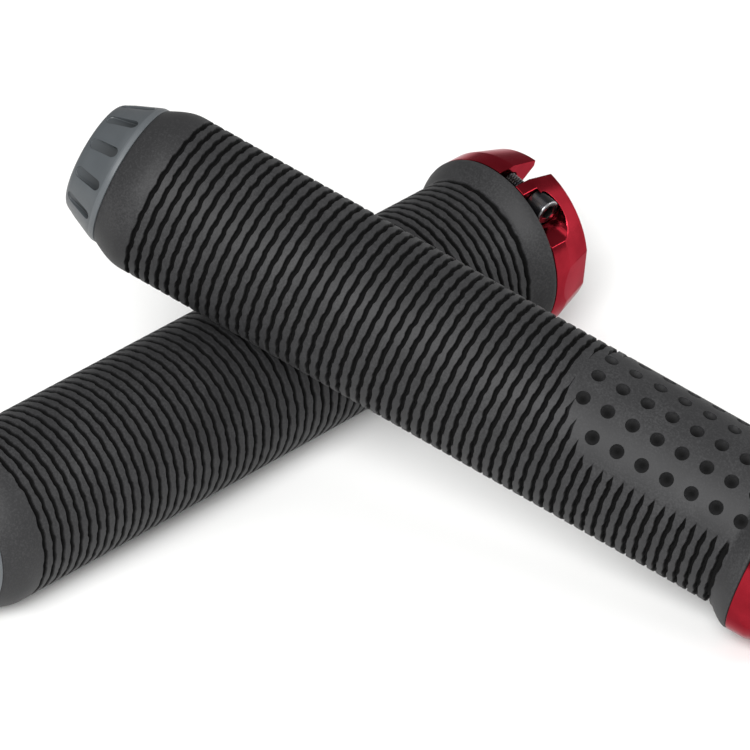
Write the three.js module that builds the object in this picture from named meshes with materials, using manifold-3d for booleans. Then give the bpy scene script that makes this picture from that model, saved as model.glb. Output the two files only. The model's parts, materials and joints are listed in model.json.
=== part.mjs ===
// A pair of lock-on handlebar grips, one lying across the other.
// Each grip is a ribbed rubber sleeve on a hard core tube, with a split clamp ring and its
// pinch screw at the bar side and a plastic cap in the outer end.
// Millimetres, +Z up. The lower grip lies along +X, and the origin is on the ground,
// in the middle of the pair's footprint.
import * as THREE from 'three';
import { mergeVertices } from 'three/addons/utils/BufferGeometryUtils.js';
import Module from 'manifold-3d';

const wasm = await Module();
wasm.setup();

// Driving dimensions. Stations run along a grip from the cap's outer face.
const BAR_D = 22.2;            // handlebar that the grip slides on
const GRIP_D = 30;             // over the ribs
const FLANGE_D = 34.5;         // rubber collar against the clamp ring
const SEAM_D = 26.2;           // where the cap meets the rubber
const CAP_SEAM = 8;            // cap from 0 to here
const SLEEVE_END = 137;
const RING_START = 137.3;
const RING_END = 146.9;
const RING_D = 34.4;
const FIT = 0.3;               // gap between pieces that touch

const BORE_R = BAR_D / 2 + 0.1;
const CORE_WALL = 1.2;
const CORE_R = BORE_R + CORE_WALL;
const CORE_START = CAP_SEAM + 1.2;
const CORE_END = RING_START - FIT;
const TAB_COUNT = 4;           // tabs on the core that key into the ring
const TAB_LENGTH = 2;
const TAB_WIDTH = 5;
const TAB_ANGLE = 45;

const CAP_FACE_R = 8.6;
const CAP_SHOULDER_R = 10.5;
const CAP_STEM_R = BORE_R - FIT;
const CAP_STEM_END = 14.5;
const CAP_WALL = 1.8;
const SLOT_COUNT = 12;
const SLOT_WIDTH = 2;
const SLOT_DEPTH = 0.55;
const SLOT_FROM = 1.6;
const SLOT_TO = 6.4;

const CYLINDER_END = 140.7;    // the ring's outside is straight to here, then a cone
const RING_MOUTH_R = 15.35;    // cone's small end
const RING_EDGE = 0.35;
const RIM_WIDTH = 1.3;         // flat end rim, inside it the face is dished to the bore
const DISH_DEPTH = 2.6;
const GAP_WIDTH = 4;
const GAP_ANGLE = 172;         // from the middle of the palm pad
const FACET_ANGLE = 81.5;      // each side of the gap
const FACET_DEPTH = 0.44;

const SCREW_STATION = 140.7;
const SCREW_HEIGHT = 13.6;     // screw axis from the grip axis
const SCREW_R = 1.5;
const SCREW_SEAT = 4.3;        // under-head face from the middle of the gap
const SCREW_LENGTH = 11;
const HEAD_R = 2.4;
const HEAD_LENGTH = 3.8;
const HEX_ACROSS = 2.5;
const HEX_DEPTH = 2;
const POCKET_R = HEAD_R + FIT;

// How the pair lies: the upper grip crosses the lower one and its clamp end is on the ground.
const LOWER_TILT = 1.006;      // clamp ring and rubber both on the ground
const LOWER_TURN = 202.28;     // palm pad about the grip's own axis, from straight up
const UPPER_HEADING = -70.685;
const UPPER_TILT = -16.27;
const UPPER_TURN = 10.66;
const CROSS_LOWER = 77.3;      // stations of the crossing
const CROSS_UPPER = 38.7;

const ROUND_STEPS = 48;
const RING_STEPS = 72;
const SMALL_STEPS = 20;

const rad = THREE.MathUtils.degToRad;

// Closed solid from any closed geometry, with its faces turned outwards.
function solid(geometry) {
  const bare = geometry.clone();
  bare.deleteAttribute('normal');
  bare.deleteAttribute('uv');
  const merged = mergeVertices(bare, 1e-4);
  const corners = Array.from(merged.index.array);
  const kept = [];
  for (let i = 0; i < corners.length; i += 3) {
    const [a, b, c] = corners.slice(i, i + 3);
    if (a !== b && b !== c && c !== a) kept.push(a, b, c);
  }
  const points = merged.attributes.position.array;
  if (signedVolume(points, kept) < 0) kept.reverse();
  return new wasm.Manifold(new wasm.Mesh({
    numProp: 3,
    vertProperties: new Float32Array(points),
    triVerts: new Uint32Array(kept),
  }));
}

function signedVolume(points, triangles) {
  const corner = (i) => new THREE.Vector3().fromArray(points, 3 * i);
  let sum = 0;
  for (let i = 0; i < triangles.length; i += 3) {
    const [a, b, c] = triangles.slice(i, i + 3).map(corner);
    sum += a.dot(b.cross(c));
  }
  return sum / 6;
}

function geometryOf(body) {
  const mesh = body.getMesh();
  const geometry = new THREE.BufferGeometry();
  geometry.setAttribute('position', new THREE.BufferAttribute(mesh.vertProperties, 3));
  geometry.setIndex(new THREE.BufferAttribute(mesh.triVerts, 1));
  geometry.computeVertexNormals();
  return geometry;
}

// Turned solid about the X axis from [station, radius] points that close on themselves
// or start and end on the axis.
function turned(points, steps = ROUND_STEPS) {
  const outline = points.map(([station, radius]) => new THREE.Vector2(radius, station));
  const onAxis = points[0][1] === 0 && points.at(-1)[1] === 0;
  if (!onAxis) outline.push(outline[0].clone());
  return solid(new THREE.LatheGeometry(outline, steps).rotateZ(-Math.PI / 2));
}

function block(from, to) {
  const size = to.map((value, i) => value - from[i]);
  const middle = to.map((value, i) => (value + from[i]) / 2);
  return solid(new THREE.BoxGeometry(...size).translate(...middle));
}

// Rod across the ring at a station and height. Distances across are measured towards the
// screw's head, which lies on the -Y side.
function crossRod(radius, from, to, station, height, steps = SMALL_STEPS) {
  const rod = new THREE.CylinderGeometry(radius, radius, to - from, steps);
  return solid(rod.translate(station, -(from + to) / 2, height));
}

// Points of an arc from one angle to another, in degrees, as [station, radius].
function arc(centre, radius, from, to, count) {
  return Array.from({ length: count + 1 }, (_, i) => {
    const angle = rad(from + ((to - from) * i) / count);
    return [centre[0] + radius * Math.cos(angle), centre[1] + radius * Math.sin(angle)];
  });
}

// Ribs and dimples are 0.8 mm deep; the sleeve's solid is its envelope over the rib tops.
function rubberSleeve() {
  const bore = CORE_R + FIT;
  const start = CAP_SEAM + FIT;
  const ogive = [0.35, 0.7, 1].map((part) => {
    const rise = Math.sin((part * Math.PI) / 2);
    return [start + 5.6 * part, SEAM_D / 2 + (GRIP_D / 2 - SEAM_D / 2) * rise];
  });
  return turned([
    [start, bore],
    [start, SEAM_D / 2],
    ...ogive,
    [132.3, GRIP_D / 2],
    [136.3, FLANGE_D / 2 - 0.2],
    [SLEEVE_END - 0.2, FLANGE_D / 2],
    [SLEEVE_END, FLANGE_D / 2 - 0.15],
    [SLEEVE_END, bore],
  ]);
}

function tabs(radiusIn, radiusOut, width, from, to) {
  const shell = turned([[from, radiusIn], [from, radiusOut], [to, radiusOut], [to, radiusIn]]);
  const half = width / 2;
  let keys = null;
  for (let i = 0; i < TAB_COUNT / 2; i += 1) {
    const bar = block([from - 1, -radiusOut - 1, -half], [to + 1, radiusOut + 1, half]);
    const placed = bar.rotate([TAB_ANGLE + (360 / TAB_COUNT) * i, 0, 0]);
    keys = keys ? keys.add(placed) : placed;
  }
  return shell.intersect(keys);
}

function coreTube() {
  const tube = turned([
    [CORE_START, BORE_R],
    [CORE_START, CORE_R],
    [CORE_END, CORE_R],
    [CORE_END, BORE_R],
  ]);
  return tube.add(tabs(BORE_R, CORE_R, TAB_WIDTH, CORE_END - 1, CORE_END + TAB_LENGTH));
}

function endCap() {
  const shoulder = arc([1.5, CAP_FACE_R + 0.35], 1.5, 180, 112, 4);
  let cap = turned([
    [0, 0],
    ...shoulder,
    [CAP_SEAM - 0.2, SEAM_D / 2],
    [CAP_SEAM, SEAM_D / 2 - 0.2],
    [CAP_SEAM, CAP_STEM_R],
    [CAP_STEM_END - 0.5, CAP_STEM_R],
    [CAP_STEM_END, CAP_STEM_R - 0.5],
    [CAP_STEM_END, CAP_STEM_R - CAP_WALL],
    [CAP_WALL + 1, CAP_STEM_R - CAP_WALL],
    [CAP_WALL + 1, 0],
  ]);
  const slope = Math.atan2(SEAM_D / 2 - CAP_SHOULDER_R, CAP_SEAM - 1);
  const half = SLOT_WIDTH / 2;
  for (let i = 0; i < SLOT_COUNT; i += 1) {
    const length = SLOT_TO - SLOT_FROM;
    const cutter = block([-length / 2, -half, -SLOT_DEPTH], [length / 2, half, 3])
      .rotate([0, -THREE.MathUtils.radToDeg(slope), 0])
      .translate([(SLOT_FROM + SLOT_TO) / 2, 0, outsideOfCap((SLOT_FROM + SLOT_TO) / 2)])
      .rotate([(360 / SLOT_COUNT) * i, 0, 0]);
    cap = cap.subtract(cutter);
  }
  return cap;
}

function outsideOfCap(station) {
  const part = (station - 1) / (CAP_SEAM - 1);
  return CAP_SHOULDER_R + (SEAM_D / 2 - CAP_SHOULDER_R) * part;
}

// The ring is made with its gap at the top and the screw across it, along Y.
function clampRing() {
  const dishR = RING_MOUTH_R - RIM_WIDTH;
  const body = turned([
    [RING_START, BORE_R],
    [RING_START, RING_D / 2 - 0.2],
    [RING_START + 0.2, RING_D / 2],
    [CYLINDER_END, RING_D / 2],
    [RING_END - RING_EDGE, RING_MOUTH_R + 0.1],
    [RING_END, RING_MOUTH_R - RING_EDGE],
    [RING_END, dishR],
    [RING_END - DISH_DEPTH, BORE_R],
  ], RING_STEPS);
  const keyWidth = TAB_WIDTH + 2 * FIT;
  const keyEnd = CORE_END + TAB_LENGTH + FIT;
  return body
    .subtract(tabs(BORE_R - 1, CORE_R + FIT, keyWidth, RING_START - 1, keyEnd))
    .subtract(facetCutter(FACET_ANGLE))
    .subtract(facetCutter(-FACET_ANGLE))
    .subtract(ringGap())
    .subtract(screwHoles())
    .subtract(headPocket());
}

function ringGap() {
  const half = GAP_WIDTH / 2;
  return block([RING_START - 1, -half, 0], [RING_END + 1, half, RING_D]);
}

function facetCutter(angle) {
  const run = RING_END - CYLINDER_END;
  const slope = Math.atan2(RING_D / 2 - RING_MOUTH_R, run);
  return block([-run, -RING_D / 2, 0], [run * 2, RING_D / 2, RING_D / 2])
    .rotate([0, THREE.MathUtils.radToDeg(slope), 0])
    .translate([CYLINDER_END, 0, RING_D / 2 - FACET_DEPTH])
    .rotate([angle, 0, 0]);
}

function screwHoles() {
  const tail = SCREW_SEAT - SCREW_LENGTH;
  return crossRod(SCREW_R + FIT, tail - FIT, SCREW_SEAT + 1, SCREW_STATION, SCREW_HEIGHT);
}

// A round counterbore, open to the rubber's side on its near half.
function headPocket() {
  const seat = SCREW_SEAT - FIT;
  const round = crossRod(POCKET_R, seat, RING_D / 2, SCREW_STATION, SCREW_HEIGHT, 40);
  const trough = block(
    [RING_START - 1, -RING_D / 2, SCREW_HEIGHT - POCKET_R],
    [SCREW_STATION, -seat, RING_D],
  );
  return round.add(trough);
}

function clampScrew() {
  const tail = SCREW_SEAT - SCREW_LENGTH;
  const head = crossRod(HEAD_R, SCREW_SEAT, SCREW_SEAT + HEAD_LENGTH, SCREW_STATION,
    SCREW_HEIGHT, 32);
  const shank = crossRod(SCREW_R, tail, SCREW_SEAT + 0.5, SCREW_STATION, SCREW_HEIGHT);
  const end = SCREW_SEAT + HEAD_LENGTH;
  const hexR = HEX_ACROSS / 2 / Math.cos(rad(30));
  const hex = crossRod(hexR, end - HEX_DEPTH, end + 1, SCREW_STATION, SCREW_HEIGHT, 6);
  return head.add(shank).subtract(hex);
}

const finishes = {
  rubber: { color: 0x46464a, roughness: 0.8, metalness: 0 },
  nylon: { color: 0x1d1e20, roughness: 0.55, metalness: 0 },
  capPlastic: { color: 0x666b70, roughness: 0.5, metalness: 0 },
  redAluminium: { color: 0xa81f2e, roughness: 0.28, metalness: 0.9 },
  blackSteel: { color: 0x17181a, roughness: 0.4, metalness: 0.8 },
};

function piece(name, body, finish) {
  const mesh = new THREE.Mesh(geometryOf(body), new THREE.MeshStandardMaterial(finishes[finish]));
  mesh.name = name;
  return mesh;
}

// One grip along +X, palm pad up, cap face at the origin.
function grip(prefix) {
  const group = new THREE.Group();
  const clamp = new THREE.Group();
  clamp.rotation.x = rad(GAP_ANGLE);
  clamp.add(piece(`${prefix}_clamp_ring`, clampRing(), 'redAluminium'));
  clamp.add(piece(`${prefix}_clamp_screw`, clampScrew(), 'blackSteel'));
  group.add(piece(`${prefix}_rubber_sleeve`, rubberSleeve(), 'rubber'));
  group.add(piece(`${prefix}_core_tube`, coreTube().rotate([GAP_ANGLE, 0, 0]), 'nylon'));
  group.add(piece(`${prefix}_end_cap`, endCap(), 'capPlastic'));
  group.add(clamp);
  return group;
}

// Turns a grip about its own axis, then tilts and heads it.
function aim(group, heading, tilt, turn) {
  group.rotation.set(rad(turn), rad(-tilt), rad(heading), 'ZYX');
  group.updateMatrix();
  return new THREE.Vector3(1, 0, 0).applyQuaternion(group.quaternion);
}

function pair() {
  const lower = grip('lower');
  const upper = grip('upper');
  const along = aim(lower, 0, LOWER_TILT, LOWER_TURN);
  const across = aim(upper, UPPER_HEADING, UPPER_TILT, UPPER_TURN);
  const apart = new THREE.Vector3().crossVectors(across, along).normalize();
  upper.position
    .addScaledVector(along, CROSS_LOWER)
    .addScaledVector(apart, GRIP_D + FIT)
    .addScaledVector(across, -CROSS_UPPER);
  const both = new THREE.Group();
  both.add(lower, upper);
  both.updateMatrixWorld(true);
  const box = new THREE.Box3().setFromObject(both, true);
  const middle = box.getCenter(new THREE.Vector3());
  both.position.set(-middle.x, -middle.y, -box.min.z);
  both.updateMatrixWorld(true);
  return both;
}

export default pair();
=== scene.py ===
# A pair of lock-on handlebar grips, one lying across the other: grooved rubber sleeves on
# nylon core tubes, slotted end caps, split red clamp rings and black pinch screws.
# Sizes in the tables are in millimetres and degrees; everything in Blender is in metres.
import json
import math

import bmesh
import bpy
from mathutils import Matrix, Vector


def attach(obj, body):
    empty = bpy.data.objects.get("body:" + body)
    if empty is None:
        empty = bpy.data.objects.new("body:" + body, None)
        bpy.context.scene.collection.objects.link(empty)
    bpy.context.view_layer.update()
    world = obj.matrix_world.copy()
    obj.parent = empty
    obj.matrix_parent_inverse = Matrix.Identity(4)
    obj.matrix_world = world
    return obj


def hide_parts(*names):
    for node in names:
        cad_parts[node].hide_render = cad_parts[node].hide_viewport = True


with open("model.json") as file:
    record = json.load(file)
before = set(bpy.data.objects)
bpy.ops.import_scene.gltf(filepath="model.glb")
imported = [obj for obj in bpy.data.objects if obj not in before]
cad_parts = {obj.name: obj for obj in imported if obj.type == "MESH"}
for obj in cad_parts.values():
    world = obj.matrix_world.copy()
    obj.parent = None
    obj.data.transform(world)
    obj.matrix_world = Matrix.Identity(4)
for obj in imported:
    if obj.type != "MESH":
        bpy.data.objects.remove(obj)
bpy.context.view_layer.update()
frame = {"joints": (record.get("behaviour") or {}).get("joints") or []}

mm = 0.001
scene = bpy.context.scene

cameraView = {
    "target": (37.549, 44.327, 0.0),  # on the floor
    "azimuth": 44.696,                # from +Y towards +X
    "elevation": 34.017,
    "roll": 1.112,
    "distance": 1220.98,
    "lens": 324.224,
    "sensor": 36.0,
}


def placeCamera(view):
    azimuth, elevation, roll = (math.radians(view[key]) for key in ("azimuth", "elevation", "roll"))
    level = math.cos(elevation)
    ahead = Vector((math.sin(azimuth) * level, math.cos(azimuth) * level, -math.sin(elevation)))
    flatRight = ahead.cross(Vector((0, 0, 1))).normalized()
    flatUp = flatRight.cross(ahead)
    right = flatRight * math.cos(roll) + flatUp * math.sin(roll)
    up = right.cross(ahead)
    lens = bpy.data.cameras.new("studioCamera")
    lens.lens = view["lens"]
    lens.sensor_width = view["sensor"]
    lens.clip_start = 0.05
    lens.clip_end = 20
    holder = bpy.data.objects.new("studioCamera", lens)
    turn = Matrix((right, up, -ahead)).transposed().to_4x4()
    place = Vector(view["target"]) * mm - ahead * view["distance"] * mm
    holder.matrix_world = Matrix.Translation(place) @ turn
    scene.collection.objects.link(holder)
    scene.camera = holder


placeCamera(cameraView)
print("camera placed")

# Where each grip lies, read from its joints: station 0 is the cap's outer face, the clamp's
# gap looks along its own +Z and its screw head along -Y.
layout = {"screwStation": 140.7, "screwHeight": 13.6, "gapAngle": 172.0}


def clampFrame(prefix):
    joints = {joint["name"]: joint for joint in frame["joints"]}
    along = Vector(joints[prefix + "_clamp_slide"]["axis"]).normalized()
    screwJoint = joints[prefix + "_screw_turn"]
    awayFromHead = -Vector(screwJoint["axis"]).normalized()
    gapWay = along.cross(awayFromHead)
    screwAt = Vector(screwJoint["pos_m"])
    start = screwAt - along * layout["screwStation"] * mm - gapWay * layout["screwHeight"] * mm
    return Matrix.Translation(start) @ Matrix((along, awayFromHead, gapWay)).transposed().to_4x4()


def gripFrame(prefix):
    return clampFrame(prefix) @ Matrix.Rotation(math.radians(-layout["gapAngle"]), 4, "X")


def addNode(tree, kind, inputs=(), **settings):
    node = tree.nodes.new(kind)
    for name, value in settings.items():
        setattr(node, name, value)
    for place, value in inputs.items() if isinstance(inputs, dict) else enumerate(inputs):
        if isinstance(value, bpy.types.Node):
            value = value.outputs[0]
        if isinstance(value, bpy.types.NodeSocket):
            tree.links.new(value, node.inputs[place])
        elif value is not None:
            node.inputs[place].default_value = value
    return node


def newTree(name, sizes):
    tree = bpy.data.node_groups.new(name, "GeometryNodeTree")
    tree.interface.new_socket("Geometry", in_out="INPUT", socket_type="NodeSocketGeometry")
    for label, value in sizes.items():
        kind = "NodeSocketFloat"
        if isinstance(value, bpy.types.Material):
            kind = "NodeSocketMaterial"
        elif isinstance(value, bpy.types.Object):
            kind = "NodeSocketObject"
        elif isinstance(value, int):
            kind = "NodeSocketInt"
        tree.interface.new_socket(label, in_out="INPUT", socket_type=kind)
    tree.interface.new_socket("Geometry", in_out="OUTPUT", socket_type="NodeSocketGeometry")
    return tree, tree.nodes.new("NodeGroupInput").outputs


# Distance from the axis, from the two coordinates across it.
def distanceOut(tree, y, z):
    across = addNode(tree, "ShaderNodeCombineXYZ", [0.0, y, z])
    return addNode(tree, "ShaderNodeVectorMath", [across], operation="LENGTH").outputs["Value"]


# Angle round the axis from the pad's middle.
def turnFromPad(tree, y, z):
    minusY = addNode(tree, "ShaderNodeMath", [y, -1.0], operation="MULTIPLY")
    return addNode(tree, "ShaderNodeMath", [minusY, z], operation="ARCTAN2")


# Draws each point in towards the axis by a share of its distance from it.
def drawnIn(tree, geometry, x, y, z, share):
    left = addNode(tree, "ShaderNodeMath", [1.0, share], operation="SUBTRACT")
    newY = addNode(tree, "ShaderNodeMath", [y, left], operation="MULTIPLY")
    newZ = addNode(tree, "ShaderNodeMath", [z, left], operation="MULTIPLY")
    newPlace = addNode(tree, "ShaderNodeCombineXYZ", [x, newY, newZ])
    return addNode(tree, "GeometryNodeSetPosition", {"Geometry": geometry, "Position": newPlace})


# Ends a tree: no instances are left, and the whole piece has its material.
def endTree(tree, given, shape):
    whole = addNode(tree, "GeometryNodeRealizeInstances", [shape])
    painted = addNode(tree, "GeometryNodeSetMaterial", {"Geometry": whole,
                                                        "Material": given["Material"]})
    addNode(tree, "NodeGroupOutput", [painted])
    return tree


# Runs a node tree over a mesh and gives the result back as a plain mesh.
def shaped(mesh, tree, sizes):
    thing = bpy.data.objects.new(mesh.name, mesh)
    scene.collection.objects.link(thing)
    modifier = thing.modifiers.new(tree.name, "NODES")
    modifier.node_group = tree
    for item in tree.interface.items_tree:
        if item.in_out == "INPUT" and item.name in sizes:
            modifier[item.identifier] = sizes[item.name]
    return plainCopy(thing)


def plainCopy(thing):
    bpy.context.view_layer.update()
    seen = thing.evaluated_get(bpy.context.evaluated_depsgraph_get())
    mesh = bpy.data.meshes.new_from_object(seen)
    bpy.data.objects.remove(thing)
    return mesh


# Closed turned body about X from [station, radius] points in millimetres. A point at radius 0
# closes the outline on the axis; otherwise the outline runs back to its first point.
def turned(name, outline, columns, marks=()):
    points = []
    rows = []
    for station, radius in outline:
        count = 1 if radius == 0 else columns
        rows.append(range(len(points), len(points) + count))
        for j in range(count):
            angle = 2 * math.pi * j / columns
            side, height = -radius * math.sin(angle), radius * math.cos(angle)
            points.append((station * mm, side * mm, height * mm))
    closed = outline[0][1] > 0
    faces = []
    for i in range(len(rows) if closed else len(rows) - 1):
        first, second = rows[i], rows[(i + 1) % len(rows)]
        for j in range(columns):
            k = (j + 1) % columns
            loop = [first[j % len(first)], first[k % len(first)]]
            loop += [second[k % len(second)], second[j % len(second)]]
            faces.append(list(dict.fromkeys(loop)))
    mesh = bpy.data.meshes.new(name)
    mesh.from_pydata(points, [], faces)
    for label, values in marks:
        spread = [value for row, value in zip(rows, values) for _ in row]
        mesh.attributes.new(label, "FLOAT", "POINT").data.foreach_set("value", spread)
    outwards(mesh)
    return mesh


def outwards(mesh):
    work = bmesh.new()
    work.from_mesh(mesh)
    bmesh.ops.recalc_face_normals(work, faces=work.faces)
    work.to_mesh(mesh)
    work.free()


def coat(mesh, material):
    mesh.materials.clear()
    mesh.materials.append(material)
    return mesh


# Puts a copy of a shape in each grip. Each point's place on its own grip is kept as an
# attribute, which the materials read.
def settle(node, shape, gripTurn, body, sharpAngle=35):
    for prefix in ("lower", "upper"):
        mesh = shape.copy()
        mesh.name = prefix + "_" + node + "_looks"
        flat = [0.0] * (3 * len(mesh.vertices))
        mesh.vertices.foreach_get("co", flat)
        mesh.attributes.new("gripPlace", "FLOAT_VECTOR", "POINT").data.foreach_set("vector", flat)
        mesh.transform(gripTurn(prefix))
        mesh.shade_smooth()
        mesh.set_sharp_from_angle(angle=math.radians(sharpAngle))
        piece = bpy.data.objects.new(mesh.name, mesh)
        scene.collection.objects.link(piece)
        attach(piece, prefix + "_" + body)
        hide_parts(prefix + "_" + node)


def colour(hexText):
    channels = [int(hexText[i:i + 2], 16) / 255 for i in (1, 3, 5)]
    linear = [c / 12.92 if c <= 0.04045 else ((c + 0.055) / 1.055) ** 2.4 for c in channels]
    return (*linear, 1.0)


def newMaterial(name, baseColour, metallic, roughness):
    material = bpy.data.materials.new(name)
    material.use_nodes = True
    tree = material.node_tree
    shader = tree.nodes["Principled BSDF"]
    shader.inputs["Base Color"].default_value = colour(baseColour)
    shader.inputs["Metallic"].default_value = metallic
    shader.inputs["Roughness"].default_value = roughness
    return material, tree, shader


# Links a material's colour, its roughness and the bump that its fine pattern makes.
def finish(tree, shader, paint, rough, pattern, strength, height):
    bump = addNode(tree, "ShaderNodeBump", {"Height": pattern, "Strength": strength,
                                            "Distance": height * mm})
    tree.links.new(paint.outputs[2], shader.inputs["Base Color"])
    tree.links.new(rough.outputs[0], shader.inputs["Roughness"])
    tree.links.new(bump.outputs[0], shader.inputs["Normal"])


# Thermoplastic rubber, injection moulded over the core in a spark-eroded mould: matt charcoal with
# a very fine even grain, with painted shade down in the grooves and a little greyer on worn rib
# tops.
rubberLook = {
    "top": "#242425",
    # painted shade: the colour painted down in the grooves, where light hardly reaches
    "groove": "#020202",
    "worn": "#343435",
    "grain": 0.35,         # grain width, coarser than the real 0.1 so that it shows
    "grainHeight": 0.03,
    "roughness": (0.5, 0.64),
    "grooveDulling": 0.4,  # how much rougher the grooves are
    "patch": 9.0,          # size of the cloudy variation
    "ribTop": 15.0,
    "ribFoot": 14.6,       # painted shade: full groove colour below this
    # painted shade in the dimples is full only below this, far down
    "dimpleFoot": 13.75,
    "firstGroove": 15.4,
    "firstDimple": 97.0,
    "dimplesHalfAngle": 46.0,
}


def rubberMaterial(look):
    material, tree, shader = newMaterial("mouldedRubber", look["top"], 0.0, 0.62)
    shader.inputs["Specular IOR Level"].default_value = 0.22
    place = addNode(tree, "ShaderNodeAttribute", attribute_name="gripPlace").outputs["Vector"]
    parts = addNode(tree, "ShaderNodeSeparateXYZ", [place])
    radius = distanceOut(tree, parts.outputs[1], parts.outputs[2])
    # painted shade: dimples are wide and open, so less shade is painted inside them than in the
    # grooves
    angle = turnFromPad(tree, parts.outputs[1], parts.outputs[2])
    fromPad = addNode(tree, "ShaderNodeMath", [angle], operation="ABSOLUTE")
    nearPad = addNode(tree, "ShaderNodeMath", [fromPad, math.radians(look["dimplesHalfAngle"])],
                      operation="LESS_THAN")
    pastRibs = addNode(tree, "ShaderNodeMath", [parts.outputs[0], look["firstDimple"] * mm],
                       operation="GREATER_THAN")
    dimpled = addNode(tree, "ShaderNodeMath", [nearPad, pastRibs], operation="MULTIPLY")
    drop = (look["dimpleFoot"] - look["ribFoot"]) * mm
    foot = addNode(tree, "ShaderNodeMath", [dimpled, drop, look["ribFoot"] * mm],
                   operation="MULTIPLY_ADD")
    # painted shade: darker the deeper a point lies under the rib tops, none before the first groove
    height = addNode(tree, "ShaderNodeMapRange", [radius, foot, look["ribTop"] * mm, 0.0, 1.0])
    grooved = addNode(tree, "ShaderNodeMath", [parts.outputs[0], look["firstGroove"] * mm],
                      operation="LESS_THAN")
    lit = addNode(tree, "ShaderNodeMath", [height, grooved], operation="MAXIMUM")
    cloud = addNode(tree, "ShaderNodeTexNoise", {"Vector": place, "Scale": 1 / (look["patch"] * mm),
                                                 "Detail": 3.0})
    worn = addNode(tree, "ShaderNodeMapRange", [cloud, 0.4, 0.75, 0.0, 0.55])
    grain = addNode(tree, "ShaderNodeTexNoise", {"Vector": place, "Scale": 1 / (look["grain"] * mm),
                                                 "Detail": 4.0, "Roughness": 0.6})
    speckle = addNode(tree, "ShaderNodeMapRange", [grain, 0.35, 0.65, -0.5, 0.6])
    mottle = addNode(tree, "ShaderNodeMath", [worn, speckle], operation="ADD", use_clamp=True)
    face = addNode(tree, "ShaderNodeMix", {0: mottle, 6: colour(look["top"]),
                                           7: colour(look["worn"])}, data_type="RGBA")
    paint = addNode(tree, "ShaderNodeMix", {0: lit, 6: colour(look["groove"]),
                                            7: face.outputs[2]}, data_type="RGBA")
    rough = addNode(tree, "ShaderNodeMapRange", [grain, 0.3, 0.7, *look["roughness"]])
    dull = addNode(tree, "ShaderNodeMapRange", [lit, 0.0, 1.0, look["grooveDulling"], 0.0])
    whole = addNode(tree, "ShaderNodeMath", [rough, dull], operation="ADD", use_clamp=True)
    finish(tree, shader, paint, whole, grain, 1.0, look["grainHeight"])
    return material


# Polypropylene, injection moulded in a lightly textured mould: satin mid grey, faintly bluish, with
# soft broad highlights and slight flow clouds, a painted lighter band at the seam and painted shade
# in the slots.
capLook = {
    "base": "#3D4144",
    "light": "#464A4D",
    "litBand": "#4E5255",     # painted light: the plain band at the seam, painted lighter as where it faces the lamps
    "bandStart": 6.8,
    "bandFade": 0.15,
    # painted shade: the colour painted down in the slots, where light hardly reaches
    "slot": "#222527",
    "coneRadius": 10.5,    # of the cap's cone at station 1
    "coneSlope": 0.43,
    "slotsFrom": 1.0,
    "slotsTo": 6.7,
    "slotDepth": 1.0,
    "grain": 0.3,
    "grainHeight": 0.006,
    "roughness": (0.38, 0.48),
    "patch": 6.0,
}


def capMaterial(look):
    material, tree, shader = newMaterial("mouldedPolypropylene", look["base"], 0.0, 0.42)
    place = addNode(tree, "ShaderNodeAttribute", attribute_name="gripPlace").outputs["Vector"]
    cloud = addNode(tree, "ShaderNodeTexNoise", {"Vector": place, "Scale": 1 / (look["patch"] * mm),
                                                 "Detail": 2.0})
    share = addNode(tree, "ShaderNodeMapRange", [cloud, 0.35, 0.7, 0.0, 0.6])
    face = addNode(tree, "ShaderNodeMix", {0: share, 6: colour(look["base"]),
                                           7: colour(look["light"])}, data_type="RGBA")
    parts = addNode(tree, "ShaderNodeSeparateXYZ", [place])
    x = parts.outputs[0]
    bandStart = look["bandStart"] * mm
    bandFull = bandStart + look["bandFade"] * mm
    # painted light: the band at the seam is painted lighter
    onLitBand = addNode(tree, "ShaderNodeMapRange", [x, bandStart, bandFull, 0.0, 0.8])
    body = addNode(tree, "ShaderNodeMix", {0: onLitBand, 6: face.outputs[2],
                                           7: colour(look["litBand"])}, data_type="RGBA")
    # light does not reach down into the slots: darker by the depth under the cone
    radius = distanceOut(tree, parts.outputs[1], parts.outputs[2])
    cone = addNode(tree, "ShaderNodeMath", [x, look["coneSlope"],
                                            (look["coneRadius"] - look["coneSlope"]) * mm],
                   operation="MULTIPLY_ADD")
    under = addNode(tree, "ShaderNodeMath", [cone, radius], operation="SUBTRACT")
    deep = addNode(tree, "ShaderNodeMapRange", [under, 0.06 * mm, look["slotDepth"] * mm, 0.0, 1.0])
    after = addNode(tree, "ShaderNodeMath", [x, look["slotsFrom"] * mm], operation="GREATER_THAN")
    before = addNode(tree, "ShaderNodeMath", [x, look["slotsTo"] * mm], operation="LESS_THAN")
    within = addNode(tree, "ShaderNodeMath", [after, before], operation="MULTIPLY")
    shade = addNode(tree, "ShaderNodeMath", [deep, within], operation="MULTIPLY")
    paint = addNode(tree, "ShaderNodeMix", {0: shade, 6: body.outputs[2],
                                            7: colour(look["slot"])}, data_type="RGBA")
    grain = addNode(tree, "ShaderNodeTexNoise", {"Vector": place, "Scale": 1 / (look["grain"] * mm),
                                                 "Detail": 3.0})
    rough = addNode(tree, "ShaderNodeMapRange", [grain, 0.3, 0.7, *look["roughness"]])
    finish(tree, shader, paint, rough, grain, 0.4, look["grainHeight"])
    return material


# Aluminium, turned on a lathe, then bright dipped and anodised red: a deep glossy metallic
# red whose highlights draw out a little round the ring, along the fine turning lines.
ringLook = {
    "base": "#8E202B",
    "deep": "#7A1822",
    "grazing": "#EAC4C8",  # even at a grazing angle the dyed layer stays a little red
    "lineSpacing": 0.12,   # turning lines, coarser than the real 0.05 so that they show
    "lineHeight": 0.0005,
    "roughness": (0.16, 0.22),
    "patch": 5.0,
}


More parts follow.
